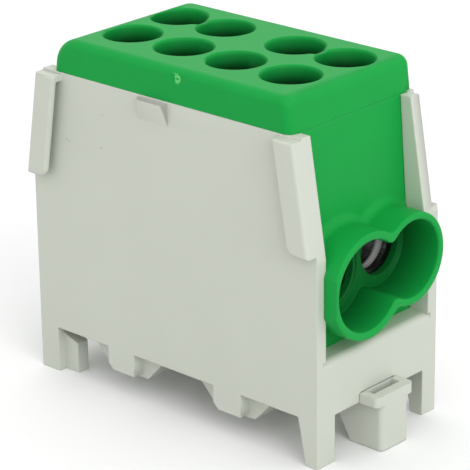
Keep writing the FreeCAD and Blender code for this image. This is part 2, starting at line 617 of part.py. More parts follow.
extrude(cap, "gate_mark", "XZ_Plane", "-HALF_WIDTH - 1", "mark_depth - HALF_WIDTH", [rectangle(
    "mark_left", "mark_right", "WALL_TOP + mark_bottom", "WALL_TOP + mark_top")], cut=True)


# Latch: a nose under the rail's edge, a loop for a screwdriver and a tongue with a push plate.
latch = new_body("rail_latch")
extrude(latch, "foot_and_nose", "XZ_Plane", "-latch_half_width", "latch_half_width", [[
    ("LATCH_HEEL", "latch_bottom"), ("LATCH_FRONT", "latch_bottom"), ("LATCH_FRONT", "TONGUE_BOTTOM"),
    ("NOSE_STOP", "TONGUE_BOTTOM"), ("NOSE_STOP - 0.1", "NOSE_TOP"), ("NOSE_TIP", "NOSE_TOP"),
    ("NOSE_LOW_X", "NOSE_LOW"),
]])
extrude(latch, "loop", "XY_Plane", "LOOP_BOTTOM", "LOOP_TOP", [rectangle(
    "HALF_LENGTH + box_gap", "LATCH_FRONT", "-loop_half_width", "loop_half_width")])
extrude(latch, "tongue", "XY_Plane", "TONGUE_BOTTOM", "TONGUE_TOP", [rectangle(
    "tongue_end", "HALF_LENGTH + 0.5", "-tongue_half_width", "tongue_half_width")])
extrude(latch, "push_plate", "XY_Plane", "TONGUE_TOP", "PUSH_TOP", [rectangle(
    "tongue_end", "tongue_end + push_thick", "-push_half_width", "push_half_width")])
extrude(latch, "driver_slot", "XY_Plane", "SLOT_FLOOR", "LOOP_TOP + 1", [rectangle(
    "SLOT_BACK", "SLOT_FRONT", "-slot_half_width", "slot_half_width")], cut=True)
dress(latch, "Fillet", "front_rounds", "loop_corner", lambda box, edge: (
    near(box.XMin, "LATCH_FRONT") and near(box.XMax, "LATCH_FRONT") and box.ZLength > 0.5
    and box.YLength < 0.01))


# Latch spring: a coil between the push plate and the post of the base.
spring = new_body("latch_spring")
wire_sketch = new_sketch(spring, "wire_section", "XZ_Plane", "0")
circle(wire_sketch, ("SPRING_START", "spring_radius"), "spring_wire / 2")
wire_sketch.setExpression("AttachmentOffset.Base.y", bound("SPRING_Z"))
doc.recompute()
coil = spring.newObject("PartDesign::AdditiveHelix", "coil")
coil.Profile = wire_sketch
coil.ReferenceAxis = (wire_sketch, ["H_Axis"])
coil.Mode = "height-turns-angle"
coil.setExpression("Height", bound("%s - %s" % ("SPRING_END", "SPRING_START")))
coil.setExpression("Turns", bound("spring_turns"))
doc.recompute()

PIECES = [base, shell, block] + screws + [cap, latch, spring]
doc.recompute()

for item in doc.Objects:
    if "Invalid" in item.State or "Error" in item.State:
        raise RuntimeError("%s failed: %s" % (item.Name, item.State))
for piece in PIECES:
    shape = piece.Shape
    if shape.isNull() or not shape.isValid() or not shape.Solids:
        raise RuntimeError(piece.Label + " has no valid solid")

os.makedirs("parts", exist_ok=True)
for piece in PIECES:
    piece.Shape.exportStep("parts/%s.step" % piece.Label)
    box = piece.Shape.BoundBox
    print("%-22s solids %d  volume %9.2f  x %.2f..%.2f  y %.2f..%.2f  z %.2f..%.2f" % (
        piece.Label, len(piece.Shape.Solids), piece.Shape.Volume,
        box.XMin, box.XMax, box.YMin, box.YMax, box.ZMin, box.ZMax))
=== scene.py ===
# %% [markdown]
# A rail-mounted branch terminal block, dressed around its CAD frame.
# The real thing is four mouldings around a metal block: a light grey base, a green box
# with a merged pair of wire tubes at each end, a green cap over the screws and a small
# grey latch. Most CAD pieces keep their shapes here, and four get a finer stand-in. Every
# piece gets the finish of a real moulding or turned part, in a studio whose camera stands
# where the photograph was taken from.

# %% Load the frame
import math

import bmesh
import bpy
from mathutils import Matrix, Vector


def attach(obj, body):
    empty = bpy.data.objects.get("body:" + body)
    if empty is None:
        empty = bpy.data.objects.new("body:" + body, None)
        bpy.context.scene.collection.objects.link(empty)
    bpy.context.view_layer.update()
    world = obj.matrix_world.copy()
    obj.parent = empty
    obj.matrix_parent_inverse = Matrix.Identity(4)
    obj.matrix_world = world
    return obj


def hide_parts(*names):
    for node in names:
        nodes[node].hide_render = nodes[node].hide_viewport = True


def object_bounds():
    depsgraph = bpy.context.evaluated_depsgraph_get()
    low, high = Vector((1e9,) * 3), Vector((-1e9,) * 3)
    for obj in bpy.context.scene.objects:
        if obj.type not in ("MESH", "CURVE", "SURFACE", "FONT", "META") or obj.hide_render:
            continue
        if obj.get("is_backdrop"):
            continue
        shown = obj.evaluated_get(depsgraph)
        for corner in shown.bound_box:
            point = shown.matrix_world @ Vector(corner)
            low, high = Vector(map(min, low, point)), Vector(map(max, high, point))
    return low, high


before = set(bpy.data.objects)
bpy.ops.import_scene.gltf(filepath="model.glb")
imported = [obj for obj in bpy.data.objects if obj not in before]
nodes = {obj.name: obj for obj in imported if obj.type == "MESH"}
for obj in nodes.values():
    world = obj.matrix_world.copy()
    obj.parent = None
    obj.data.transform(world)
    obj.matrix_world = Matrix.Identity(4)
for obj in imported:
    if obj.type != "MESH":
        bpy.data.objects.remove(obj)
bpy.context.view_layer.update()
MM = 0.001
print("CAD pieces:", len(nodes))

# %% [markdown]
# The camera's place is worked out from an azimuth, an elevation, a distance and the point
# it looks at, so each of them can be read. They were found by matching the straight edges
# of the block to the photograph. A long lens keeps the upright edges nearly parallel.

# %% Camera
SENSOR_WIDTH = 36.0
FOCAL_LENGTH = 189.4
AZIMUTH = math.radians(42.453)
ELEVATION = math.radians(21.414)
ROLL = math.radians(-0.772)
LOOK_AT = Vector((0.588, -0.240, 18.137)) * MM
DISTANCE = 265.92 * MM
NEAREST = 10 * MM
FARTHEST = 10.0


def place_camera():
    """A camera at the photographer's place, turned by a small roll."""
    back = Vector((
        math.sin(AZIMUTH) * math.cos(ELEVATION),
        -math.cos(AZIMUTH) * math.cos(ELEVATION),
        math.sin(ELEVATION),
    ))
    right = Vector((math.cos(AZIMUTH), math.sin(AZIMUTH), 0.0))
    up = back.cross(right)
    turned_right = right * math.cos(ROLL) + up * math.sin(ROLL)
    turned_up = up * math.cos(ROLL) - right * math.sin(ROLL)
    data = bpy.data.cameras.new("camera")
    data.lens = FOCAL_LENGTH
    data.sensor_width = SENSOR_WIDTH
    data.clip_start = NEAREST
    data.clip_end = FARTHEST
    camera = bpy.data.objects.new("camera", data)
    bpy.context.scene.collection.objects.link(camera)
    turn = Matrix((turned_right, turned_up, back)).transposed().to_4x4()
    camera.matrix_world = Matrix.Translation(LOOK_AT + back * DISTANCE) @ turn
    bpy.context.scene.camera = camera
    return camera


camera = place_camera()
bpy.context.scene.view_settings.view_transform = "Standard"
print("camera in mm:", [round(v / MM, 1) for v in camera.matrix_world.translation])

# %% [markdown]
# A finish is a tree of nodes. Most trees here are sums of the same few steps, so each
# step is a small function that makes one node, feeds it and returns its output. Its
# inputs may be plain values or the outputs of other steps, which lets a tree be read
# almost like a formula.

# %% Steps of a node tree


def feed(tree, socket, value):
    """Links another node's output to a socket, or gives the socket a plain value."""
    if isinstance(value, bpy.types.NodeSocket):
        tree.links.new(value, socket)
    else:
        socket.default_value = value


def math_node(tree, operation, *values):
    """Maths on numbers."""
    node = tree.nodes.new("ShaderNodeMath")
    node.operation = operation
    for socket, value in zip(node.inputs, values):
        feed(tree, socket, value)
    return node.outputs["Value"]


def blend(tree, amount, first, second):
    """The first colour where the amount is 0, the second where it is 1."""
    node = tree.nodes.new("ShaderNodeMix")
    node.data_type = "RGBA"
    for index, value in ((0, amount), (6, first), (7, second)):
        feed(tree, node.inputs[index], value)
    return node.outputs[2]


def new_material(name):
    """A material, its node tree and the inputs of its shader."""
    material = bpy.data.materials.new(name)
    material.use_nodes = True
    tree = material.node_tree
    return material, tree, tree.nodes["Principled BSDF"].inputs


# %% [markdown]
# The studio is a pale floor in a white world. The world gives most of the light, evenly
# from everywhere, so every side of the block is lit and the colours come out about as
# they are written. The photograph has a pure white ground. A floor that white would throw
# its light back at the plastic and bleach it, so only the camera and the reflections see
# it as nearly white, while the block gets the light of a greyer one.

# %% Floor and world
FLOOR_SIZE = 3.0
FLOOR_SEEN = (0.95, 0.95, 0.95, 1.0)
FLOOR_GIVEN = (0.60, 0.60, 0.60, 1.0)
WORLD_COLOUR = (1.0, 1.0, 1.0, 1.0)
WORLD_STRENGTH = 1.0
PAPER_ROUGHNESS = 0.9
PAPER_GLOSS = 0.1


def seen_directly(tree):
    """1 for the camera, for reflections and through glass, and 0 for all other light."""
    path = tree.nodes.new("ShaderNodeLightPath").outputs
    seen = math_node(tree, "MAXIMUM", path["Is Camera Ray"], path["Is Glossy Ray"])
    return math_node(tree, "MAXIMUM", seen, path["Is Transmission Ray"])


def make_floor():
    """One large square of matt paper on the plane of the block's legs."""
    mesh = bpy.data.meshes.new("floor")
    bm = bmesh.new()
    bmesh.ops.create_grid(bm, x_segments=1, y_segments=1, size=FLOOR_SIZE / 2)
    bm.to_mesh(mesh)
    bm.free()
    floor = bpy.data.objects.new("floor", mesh)
    bpy.context.scene.collection.objects.link(floor)
    paper, tree, shader = new_material("floor_paper")
    shader["Roughness"].default_value = PAPER_ROUGHNESS
    shader["Specular IOR Level"].default_value = PAPER_GLOSS
    feed(tree, shader["Base Color"], blend(tree, seen_directly(tree), FLOOR_GIVEN, FLOOR_SEEN))
    mesh.materials.append(paper)
    floor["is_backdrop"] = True


def make_world():
    """An even white world all round."""
    world = bpy.data.worlds.new("studio")
    world.use_nodes = True
    light = world.node_tree.nodes["Background"].inputs
    light["Color"].default_value = WORLD_COLOUR
    light["Strength"].default_value = WORLD_STRENGTH
    bpy.context.scene.world = world


make_floor()
make_world()
print("floor of", FLOOR_SIZE, "m in a world of strength", WORLD_STRENGTH)

# %% [markdown]
# Two large, weak lamps shape the block. The one in front gives it a lit and a shaded
# side, and the one behind softens its shadow. Their size keeps the shadows' edges soft.

# %% Lamps
LAMP_SIZE = 0.5


def make_lamp(name, place, power):
    """A large square lamp that faces the block."""
    data = bpy.data.lights.new(name, "AREA")
    data.energy = power
    data.size = LAMP_SIZE
    lamp = bpy.data.objects.new(name, data)
    bpy.context.scene.collection.objects.link(lamp)
    lamp.location = place
    lamp.rotation_mode = "QUATERNION"
    lamp.rotation_quaternion = (Vector(place) - LOOK_AT).to_track_quat("Z", "Y")
    print(name, "at", place, "with", power, "W")


make_lamp("key_lamp", (0.62, -0.24, 0.40), power=2.0)
make_lamp("back_lamp", (-0.50, 0.45, 0.45), power=0.3)

# %% [markdown]
# Four of the CAD pieces get a finer stand-in. A CAD mesh arrives as loose triangles, so a
# copy is merged first and its flat faces are made whole again. Small cuts are then taken
# out of it with boolean modifiers, and each result is baked into the mesh. All of this is
# done in millimetres: in metres the boolean's own tolerance is too coarse for details as
# small as these.

# %% Shape helpers, in millimetres
FLAT_ANGLE = math.radians(0.05)
# Corners closer together than TINY are one corner, and a corner within NEARBY of a place
# counts as being there. Cutting tools reach NEARBY out of the face that they cut.
TINY = 0.003
NEARBY = 0.05


def add_piece(name, bm):
    """An object at the origin from a bmesh, still in millimetres."""
    mesh = bpy.data.meshes.new(name)
    bm.to_mesh(mesh)
    bm.free()
    piece = bpy.data.objects.new(name, mesh)
    bpy.context.scene.collection.objects.link(piece)
    return piece


def merged_copy(node):
    """A bmesh of a CAD node whose loose triangles are joined into whole faces."""
    bm = bmesh.new()
    bm.from_mesh(nodes[node].data)
    bmesh.ops.scale(bm, verts=bm.verts, vec=(1 / MM, 1 / MM, 1 / MM))
    bmesh.ops.remove_doubles(bm, verts=bm.verts, dist=TINY / 4)
    bmesh.ops.dissolve_limit(bm, angle_limit=FLAT_ANGLE, verts=bm.verts, edges=bm.edges)
    return bm


def add_box(bm, low, high):
    """A closed box between two corners."""
    verts = bmesh.ops.create_cube(bm, size=1.0)["verts"]
    bmesh.ops.scale(bm, verts=verts, vec=Vector(high) - Vector(low))
    bmesh.ops.translate(bm, verts=verts, vec=(Vector(high) + Vector(low)) / 2)


def combine(piece, tool, operation):
    """Applies a boolean with a tool piece, which is used up."""
    boolean = piece.modifiers.new(tool.name, "BOOLEAN")
    boolean.operation = operation
    boolean.solver = "EXACT"
    boolean.object = tool
    view = bpy.context.evaluated_depsgraph_get()
    result = bpy.data.meshes.new_from_object(piece.evaluated_get(view))
    piece.modifiers.clear()
    used_up = (piece.data, tool.data)
    piece.data = result
    bpy.data.objects.remove(tool)
    for mesh in used_up:
        bpy.data.meshes.remove(mesh)


# %% [markdown]
# A finished shape is cleaned of what the booleans leave: doubled corners, slivers, pin
# holes and loose edges. It is then brought to metres, with its place in its mesh, because
# the export wants every piece at the origin. Smooth shading is cut at sharp edges, and
# weighted normals keep the large flat faces flat beside small rounded ones.

# %% Putting a stand-in in place
SHARP_ANGLE = math.radians(30)


def stand_in(piece, node):
    """Cleans a finished piece, brings it to metres and lets it replace a CAD node."""
    bm = bmesh.new()
    bm.from_mesh(piece.data)
    bmesh.ops.remove_doubles(bm, verts=bm.verts, dist=TINY)
    bmesh.ops.dissolve_degenerate(bm, dist=TINY, edges=bm.edges)
    bmesh.ops.holes_fill(bm, edges=[edge for edge in bm.edges if edge.is_boundary], sides=0)
    bmesh.ops.delete(bm, geom=[edge for edge in bm.edges if edge.is_wire], context="EDGES")
    bmesh.ops.scale(bm, verts=bm.verts, vec=(MM, MM, MM))
    open_edges = sum(not edge.is_manifold for edge in bm.edges)
    bm.to_mesh(piece.data)
    bm.free()
    piece.data.shade_smooth()
    piece.data.set_sharp_from_angle(angle=SHARP_ANGLE)
    even = piece.modifiers.new("even_normals", "WEIGHTED_NORMAL")
    even.keep_sharp = True
    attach(piece, "root")
    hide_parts(node)
    print(piece.name, "faces:", len(piece.data.polygons), "open edges:", open_edges)


# %% [markdown]
# The green box stands between the walls of the base. It is a plain tray whose ends lean
# in above the wire tubes, as the photograph shows at the front. A cube with one more
# level of corners is enough for that. Both ends are taken to be the same form, so each
# detail is made for the front and mirrored to the rear.

# %% Tray of the green box
BOX_END, BOX_TOP_END, BOX_SIDE = 17.75, 16.80, 8.70
BOX_FLOOR, LEAN_START, BOX_TOP = 11.60, 22.80, 35.50
ENDS = ("front", "rear")


def tray():
    """The outside of the box, with ends that lean in above the tubes."""
    bm = bmesh.new()
    add_box(bm, (-BOX_END, -BOX_SIDE, BOX_FLOOR), (BOX_END, BOX_SIDE, BOX_TOP))
    bmesh.ops.bisect_plane(
        bm, geom=bm.verts[:] + bm.edges[:] + bm.faces[:], dist=TINY,
        plane_co=(0.0, 0.0, LEAN_START), plane_no=(0.0, 0.0, 1.0))
    for vert in bm.verts:
        if vert.co.z > BOX_TOP - NEARBY:
            vert.co.x = math.copysign(BOX_TOP_END, vert.co.x)
    return add_piece("green_box", bm)


def at_end(bm, end):
    """The form as it is at the front, or mirrored to the rear."""
    if end == "rear":
        bmesh.ops.scale(bm, verts=bm.verts, vec=(-1.0, 1.0, 1.0))
        bmesh.ops.reverse_faces(bm, faces=bm.faces)
    return bm


green_box = tray()
print("tray in mm:", [round(v, 2) for v in green_box.dimensions])

# %% [markdown]
# What makes the box real are its wire tubes: two round tubes that run into each other
# like a figure of eight, with every crease rounded and a soft foot where they leave the
# box. An outline of that form is four arcs. Each is spun from one vertex, so the outline
# closes on itself, and the same four arcs with a little more or less radius give the
# flared foot and the rounded lip.

# %% Outline of two merged circles
ARC_STEPS = (44, 8, 40, 8)


def merged_outline(bm, x, near, far, crease, grow):
    """Edges of the closed outline round two overlapping circles (y, z, radius)."""
    near_at, far_at = Vector(near[:2]), Vector(far[:2])
    near_r, far_r, crease_r = near[2] + grow, far[2] + grow, crease - grow
    across = far_at - near_at
    gap = across.length
    ahead = across / gap
    aside = Vector((-ahead.y, ahead.x))
    along = (gap ** 2 + (near_r + crease_r) ** 2 - (far_r + crease_r) ** 2) / (2 * gap)
    height = math.sqrt((near_r + crease_r) ** 2 - along ** 2)
    upper = near_at + ahead * along + aside * height
    lower = near_at + ahead * along - aside * height
    near_half = math.atan2(height, along)
    far_half = math.atan2(height, gap - along)
    near_turn = 2 * math.pi - 2 * near_half
    far_turn = 2 * math.pi - 2 * far_half
    crease_turn = near_half + far_half - math.pi
    start = near_at + (upper - near_at).normalized() * near_r
    before = set(bm.edges)
    first = bm.verts.new((x, start.x, start.y))
    vert = first
    centres = (near_at, lower, far_at, upper)
    turns = (near_turn, crease_turn, far_turn, crease_turn)
    for centre, turn, steps in zip(centres, turns, ARC_STEPS):
        spun = bmesh.ops.spin(
            bm, geom=[vert], cent=(x, centre.x, centre.y), axis=(1.0, 0.0, 0.0),
            dvec=(0.0, 0.0, 0.0), angle=turn, steps=steps, use_merge=False)
        vert = next(item for item in spun["geom_last"] if isinstance(item, bmesh.types.BMVert))
    bmesh.ops.pointmerge(bm, verts=[first, vert], merge_co=first.co)
    return [edge for edge in bm.edges if edge not in before]


def lofted(sections, near, far, crease):
    """A closed form through such outlines, each given as (x, grow)."""
    bm = bmesh.new()
    rings = [merged_outline(bm, x, near, far, crease, grow) for x, grow in sections]
    for ring, following in zip(rings, rings[1:]):
        bmesh.ops.bridge_loops(bm, edges=ring + following)
    for ring in (rings[0], rings[-1]):
        bmesh.ops.contextual_create(bm, geom=ring)
    bmesh.ops.recalc_face_normals(bm, faces=bm.faces)
    return bm


print("corners in each outline:", sum(ARC_STEPS))

# %% [markdown]
# The outside of a tube pair is such a loft. It starts inside the box with the widest
# outline, runs through the quarter circle of the foot, and ends with the small quarter
# circle of the lip. The foot leans back with the end of the box above the tubes. The rear
# tubes are a little shorter, because none shows past the wall in the photograph.

# %% Wire tubes
NEAR_TUBE = (-3.35, 18.9, 5.78)
FAR_TUBE = (3.65, 19.7, 5.02)
OUTER_CREASE = 1.2
TUBE_ENDS = {"front": 22.0, "rear": 21.1}
TUBE_FOOT = 1.0
LIP_ROUND = 0.22
SEPTUM = 17.10
QUARTER = [math.radians(angle) for angle in range(0, 91, 18)]


def tube_pair(end):
    """The outside of the tubes at one end, with a foot that flares into the leaning box."""
    tip = TUBE_ENDS[end]
    foot = [(BOX_END + TUBE_FOOT * (1 - math.cos(a)), TUBE_FOOT * (1 - math.sin(a))) for a in QUARTER]
    lip = [(tip - LIP_ROUND * (1 - math.sin(a)), -LIP_ROUND * (1 - math.cos(a))) for a in QUARTER]
    bm = lofted([(SEPTUM, TUBE_FOOT)] + foot + lip, NEAR_TUBE, FAR_TUBE, OUTER_CREASE)
    lean = (BOX_END - BOX_TOP_END) / (BOX_TOP - LEAN_START)
    for vert in bm.verts:
        rise = vert.co.z - LEAN_START
        if rise > 0 and vert.co.x < BOX_END + TUBE_FOOT + NEARBY:
            vert.co.x -= rise * lean
    return bm


for end in ENDS:
    combine(green_box, add_piece(end + "_tubes", at_end(tube_pair(end), end)), "UNION")
print("box with its tubes in mm:", [round(v, 2) for v in green_box.dimensions])

# %% [markdown]
# Both tubes of a pair share one mouth, which ends at a wall with two round ports, one for
# each bore of the metal block. The mouth is lofted like the outside, from smaller
# circles, and widens at its lip. Each port has a shallow ring round it. A boolean tool
# may not overlap itself, so every form is cut on its own.

# %% Mouths and ports
NEAR_MOUTH = (-3.35, 18.9, 4.85)
FAR_MOUTH = (3.65, 19.7, 4.20)
INNER_CREASE = 0.9
MOUTH_FLARE = 0.35
MOUTH_WIDEST = 0.8 * MOUTH_FLARE
MOUTH_LIP = (
    (-MOUTH_FLARE, 0.0), (-MOUTH_FLARE / 3, MOUTH_FLARE / 4), (0.0, MOUTH_WIDEST),
    (0.5, MOUTH_WIDEST + 0.1))
NEAR_BORE = (-3.55, 18.9, 3.45)
FAR_BORE = (4.30, 19.6, 3.05)
PORT_PLAY, PORT_DEPTH = 0.05, 3.0
RING_WIDTH, RING_DEPTH = 0.35, 0.25
PORT_SEGMENTS = 64


def mouth(end):
    """The hollow that both tubes share at one end, with its soft lip."""
    lip = [(TUBE_ENDS[end] + step, grow) for step, grow in MOUTH_LIP]
    return lofted([(SEPTUM, 0.0)] + lip, NEAR_MOUTH, FAR_MOUTH, INNER_CREASE)


def port(y, z, radius, depth):
    """A round hole into the mouth's end wall."""
    bm = bmesh.new()
    turn = Matrix.Rotation(math.pi / 2, 4, "Y")
    place = Matrix.Translation((SEPTUM + NEARBY - depth / 2, y, z))
    bmesh.ops.create_cone(
        bm, cap_ends=True, segments=PORT_SEGMENTS, radius1=radius, radius2=radius,
        depth=depth, matrix=place @ turn)
    return bm


for end in ENDS:
    combine(green_box, add_piece(end + "_mouth", at_end(mouth(end), end)), "DIFFERENCE")
    for y, z, bore in (NEAR_BORE, FAR_BORE):
        radius = bore + PORT_PLAY
        for wide, depth in ((radius, PORT_DEPTH), (radius + RING_WIDTH, RING_DEPTH)):
            combine(green_box, add_piece("port", at_end(port(y, z, wide, depth), end)), "DIFFERENCE")
print("faces after the ports:", len(green_box.data.polygons))

# %% [markdown]
# The metal block lies in the cavity of the box. The base holds the box between ribs at
# the ends of its walls, so the box and the sides of the tubes are cut away there.

# %% Cavity and rib spaces
CAVITY = ((-16.05, -8.0, 12.9), (16.05, 8.0, 36.0))
RIB_START, RIB_END, PAST_TUBES = 16.9, 20.30, 23.3
RIB_SPACES = (
    ((BOX_END, -11.0, 11.0), (RIB_END, -8.30, 27.0)),
    ((BOX_END, 8.30, 11.0), (RIB_END, 11.0, 27.0)),
    ((BOX_END, 7.45, 22.75), (RIB_END, 9.0, 28.0)),
    ((RIB_START, -11.0, 11.0), (PAST_TUBES, -BOX_SIDE, 27.0)),
    ((RIB_START, BOX_SIDE, 11.0), (PAST_TUBES, 11.0, 27.0)))


def cut_box(piece, low, high, end="front"):
    """Takes a box out of a piece, at one end or the other."""
    bm = bmesh.new()
    add_box(bm, low, high)
    combine(piece, add_piece("space", at_end(bm, end)), "DIFFERENCE")


cut_box(green_box, *CAVITY)
for end in ENDS:
    for low, high in RIB_SPACES:
        cut_box(green_box, low, high, end)
stand_in(green_box, "terminal_shell")

# %% [markdown]
# The cap keeps its CAD shape, but the access holes of the photograph are a little
# narrower than the solid's, which leave room for the key of any screw. The corners of
# each hole's ring are moved towards its axis above the ledge. The far top edge of this
# cap has a dent and its far front corner a nick, which one boolean takes out.

# %% Cap
HOLE_RING = (3.1, 3.7)
HOLE_SHRINK = 0.22
HOLE_LEDGE = 37.3
ROW_MIDDLE = 0.4
HOLE_ROWS = ((-3.55, (3.65, 11.15)), (4.30, (4.95, 11.75)))
EDGE_DENT = ((-0.1, 9.3, 38.65), (4.0, 10.5, 40.0))
CORNER_NICK = ((16.45, 8.4, 35.0), (18.0, 10.5, 36.1))

hole_axes = [
    Vector((ROW_MIDDLE + side * distance, y))
    for y, distances in HOLE_ROWS for distance in distances for side in (-1, 1)]
cap_mesh = merged_copy("top_cap")
moved = 0
for vert in cap_mesh.verts:
    out = min((vert.co.xy - axis for axis in hole_axes), key=lambda step: step.length)
    if vert.co.z > HOLE_LEDGE - NEARBY and HOLE_RING[0] < out.length < HOLE_RING[1]:
        vert.co.xy -= out.normalized() * HOLE_SHRINK
        moved += 1
cap = add_piece("screw_cap", cap_mesh)
damage = bmesh.new()
add_box(damage, *EDGE_DENT)
add_box(damage, *CORNER_NICK)
combine(cap, add_piece("damage", damage), "DIFFERENCE")
stand_in(cap, "top_cap")
print("holes:", len(hole_axes), "corners moved:", moved)

# %% [markdown]
# The two bars on the near wall of the grey base hook over the next block in a row. Their
# outer edges are clearly rounded in the photograph, and a bevel of just those edges gives
# them the same soft highlight.

# %% Grey base
BAR_ROUND = 0.4
BAR_START = 14.0
BAR_ROUND_STEPS = 4

base_mesh = merged_copy("base_housing")
bar_face = min(vert.co.y for vert in base_mesh.verts)
bar_edges = [
    edge for edge in base_mesh.edges
    if all(vert.co.y < bar_face + NEARBY and abs(vert.co.x) > BAR_START for vert in edge.verts)]
bmesh.ops.bevel(
    base_mesh, geom=bar_edges, offset=BAR_ROUND, offset_type="OFFSET", segments=BAR_ROUND_STEPS,
    profile=0.5, affect="EDGES", material=-1)
grey_base = add_piece("grey_base", base_mesh)
stand_in(grey_base, "base_housing")
print("bar edges rounded:", len(bar_edges))

# %% [markdown]
# The bores of the metal block end in a small turned chamfer. In the photograph it is the
# bright arc deep in the tube. The edges of the bores are found as those whose two ends
# lie on a bore's circle in an end face of the block.

# %% Metal block
BORE_CHAMFER = 0.5


def on_circle(edge, y, z, radius):
    """True where both ends of an edge lie on a circle round a line along X."""
    return all(abs(math.hypot(vert.co.y - y, vert.co.z - z) - radius) < NEARBY for vert in edge.verts)


block_mesh = merged_copy("terminal_block")
block_end = max(vert.co.x for vert in block_mesh.verts)
mouth_edges = [
    edge for edge in block_mesh.edges
    if all(abs(abs(vert.co.x) - block_end) < TINY for vert in edge.verts)
    and any(on_circle(edge, *bore) for bore in (NEAR_BORE, FAR_BORE))]
bmesh.ops.bevel(
    block_mesh, geom=mouth_edges, offset=BORE_CHAMFER, offset_type="OFFSET", segments=1,
    profile=0.5, affect="EDGES", material=-1)
metal_block = add_piece("metal_block", block_mesh)
stand_in(metal_block, "terminal_block")
print("chamfered edges:", len(mouth_edges))

# %% [markdown]
# The skins and marks need a few more steps: maths on places and colours, a ramp between
# two values, noise, and a bump that turns a height into a normal. They are written in the
# same way as the first ones.

# %% More steps of a node tree


def vector_math(tree, operation, first, second):
    """Maths on places, directions or colours."""
    node = tree.nodes.new("ShaderNodeVectorMath")
    node.operation = operation
    feed(tree, node.inputs[0], first)
    feed(tree, node.inputs["Scale" if operation == "SCALE" else 1], second)
    return node.outputs["Value" if operation in ("DISTANCE", "DOT_PRODUCT") else "Vector"]


def ramp(tree, value, start, end, low, high):
    """Goes from low to high while the value goes from start to end."""
    node = tree.nodes.new("ShaderNodeMapRange")
    tree.links.new(value, node.inputs["Value"])
    for label, number in (("From Min", start), ("From Max", end), ("To Min", low), ("To Max", high)):
        node.inputs[label].default_value = number
    return node.outputs["Result"]


def noise(tree, place, scale, detail=2.0):
    """A cloudy pattern in three dimensions; its grains are about 1 / scale metres."""
    node = tree.nodes.new("ShaderNodeTexNoise")
    for label, value in (("Vector", place), ("Scale", scale), ("Detail", detail)):
        feed(tree, node.inputs[label], value)
    return node.outputs["Fac"]


def bump(tree, height, strength, distance):
    """A bump node, whose normal leans with the slopes of a height."""
    node = tree.nodes.new("ShaderNodeBump")
    for label, value in (("Height", height), ("Strength", strength), ("Distance", distance)):
        feed(tree, node.inputs[label], value)
    return node


def object_place(tree):
    """The place on the object, in metres."""
    return tree.nodes.new("ShaderNodeTexCoord").outputs["Object"]


# %% [markdown]
# The finishes share three effects: the skin of a moulding with its painted edge highlight, soft spots and
# turned rings.
# Each of these is a node group that is built once and placed in every material that needs
# it, with that material's own values.

# %% Node groups


def new_group(name, inputs, outputs):
    """A node group with its sockets: (name, kind, value) in and (name, kind) out."""
    group = bpy.data.node_groups.new(name, "ShaderNodeTree")
    for label, kind, value in inputs:
        socket = group.interface.new_socket(label, in_out="INPUT", socket_type=kind)
        socket.default_value = value
    for label, kind in outputs:
        group.interface.new_socket(label, in_out="OUTPUT", socket_type=kind)
    given = group.nodes.new("NodeGroupInput").outputs
    result = group.nodes.new("NodeGroupOutput").inputs
    return group, given, result


def add_group(tree, group, values):
    """Places a node group in a tree with its own values and returns its outputs."""
    node = tree.nodes.new("ShaderNodeGroup")
    node.node_tree = group
    for label, value in values.items():
        node.inputs[label].default_value = value
    return node.outputs


# %% [markdown]
# Both plastics have a moulded skin: a fine grain from the mould, a slow cloudiness in the
# colour, and a painted highlight, a paler colour on the edges where they catch the light. An
# edge is found where the rounded normal of a bevel node leaves the true normal, so it needs no image map.

# %% Group: moulded skin
CLOUD_SCALE, CLOUD_DETAIL = 160.0, 4.0
CLOUD_ON_ROUGHNESS = 0.12
EDGE_RADIUS, EDGE_SAMPLES = 0.22 * MM, 6
EDGE_HIGHLIGHT_STARTS, EDGE_HIGHLIGHT_FULL = 0.995, 0.85
GRAIN_DETAIL = 3.0
GRAIN_RELIEF = 0.02 * MM


